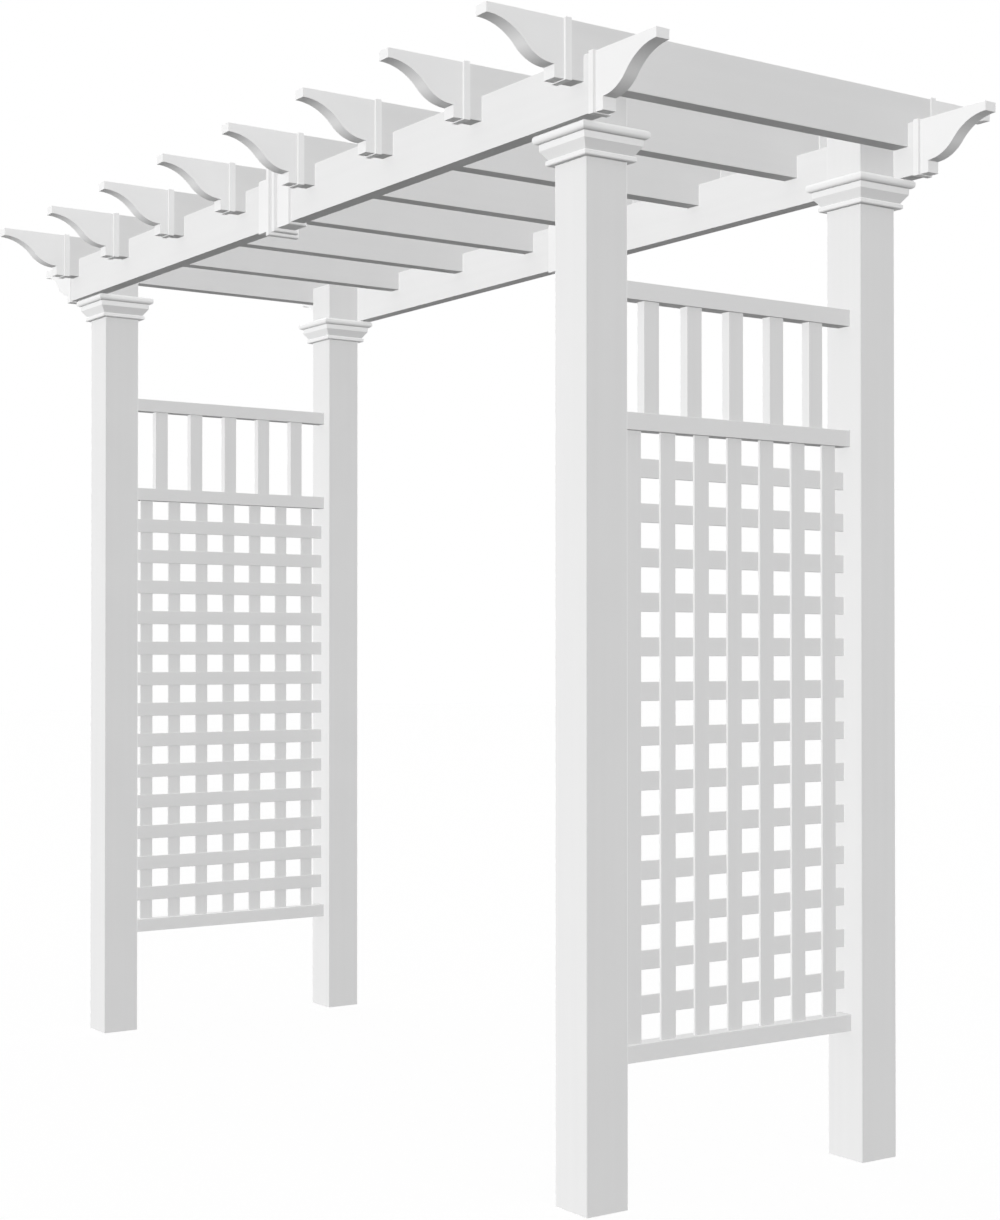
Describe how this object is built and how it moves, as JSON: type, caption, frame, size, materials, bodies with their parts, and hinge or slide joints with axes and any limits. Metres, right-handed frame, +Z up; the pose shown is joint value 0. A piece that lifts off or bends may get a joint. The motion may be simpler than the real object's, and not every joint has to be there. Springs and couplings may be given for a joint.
{
  "type": "garden arbor",
  "caption": "White vinyl garden arbor: posts with moulded capitals carry two beams and notched rafters with S-curved end caps, and each side has balusters above a lattice panel.",
  "frame": {"origin": "on the ground, at the centre of the four posts", "axes": "+Z up, +X along the beams to the right as seen from the front, +Y along the rafters from front to back"},
  "size_m": [2.8264, 1.3602, 2.2791],
  "materials": {
    "extruded_vinyl": "satin white extruded vinyl",
    "moulded_vinyl": "smooth white moulded vinyl",
    "stainless_screws": "plain stainless steel"
  },
  "bodies": {
    "root": {"balusters_left": "extruded_vinyl", "balusters_right": "extruded_vinyl", "beam_back_left": "extruded_vinyl", "beam_back_right": "extruded_vinyl", "beam_cap_back_left": "moulded_vinyl", "beam_cap_back_right": "moulded_vinyl", "beam_cap_front_left": "moulded_vinyl", "beam_cap_front_right": "moulded_vinyl", "beam_coupler_back": "moulded_vinyl", "beam_coupler_front": "moulded_vinyl", "beam_front_left": "extruded_vinyl", "beam_front_right": "extruded_vinyl", "beam_screws": "stainless_screws", "bottom_rail_left": "extruded_vinyl", "bottom_rail_right": "extruded_vinyl", "capital_back_left": "moulded_vinyl", "capital_back_right": "moulded_vinyl", "capital_front_left": "moulded_vinyl", "capital_front_right": "moulded_vinyl", "lattice_crosses_left": "extruded_vinyl", "lattice_crosses_right": "extruded_vinyl", "lattice_uprights_left": "extruded_vinyl", "lattice_uprights_right": "extruded_vinyl", "middle_rail_left": "extruded_vinyl", "middle_rail_right": "extruded_vinyl", "post_back_left": "extruded_vinyl", "post_back_right": "extruded_vinyl", "post_front_left": "extruded_vinyl", "post_front_right": "extruded_vinyl", "post_plug_back_left": "moulded_vinyl", "post_plug_back_right": "moulded_vinyl", "post_plug_front_left": "moulded_vinyl", "post_plug_front_right": "moulded_vinyl", "rafter_1": "extruded_vinyl", "rafter_2": "extruded_vinyl", "rafter_3": "extruded_vinyl", "rafter_4": "extruded_vinyl", "rafter_5": "extruded_vinyl", "rafter_6": "extruded_vinyl", "rafter_7": "extruded_vinyl", "rafter_8": "extruded_vinyl", "rafter_cap_back_1": "moulded_vinyl", "rafter_cap_back_2": "moulded_vinyl", "rafter_cap_back_3": "moulded_vinyl", "rafter_cap_back_4": "moulded_vinyl", "rafter_cap_back_5": "moulded_vinyl", "rafter_cap_back_6": "moulded_vinyl", "rafter_cap_back_7": "moulded_vinyl", "rafter_cap_back_8": "moulded_vinyl", "rafter_cap_front_1": "moulded_vinyl", "rafter_cap_front_2": "moulded_vinyl", "rafter_cap_front_3": "moulded_vinyl", "rafter_cap_front_4": "moulded_vinyl", "rafter_cap_front_5": "moulded_vinyl", "rafter_cap_front_6": "moulded_vinyl", "rafter_cap_front_7": "moulded_vinyl", "rafter_cap_front_8": "moulded_vinyl", "rafter_screws": "stainless_screws", "top_rail_left": "extruded_vinyl", "top_rail_right": "extruded_vinyl"}
  },
  "joints": []
}
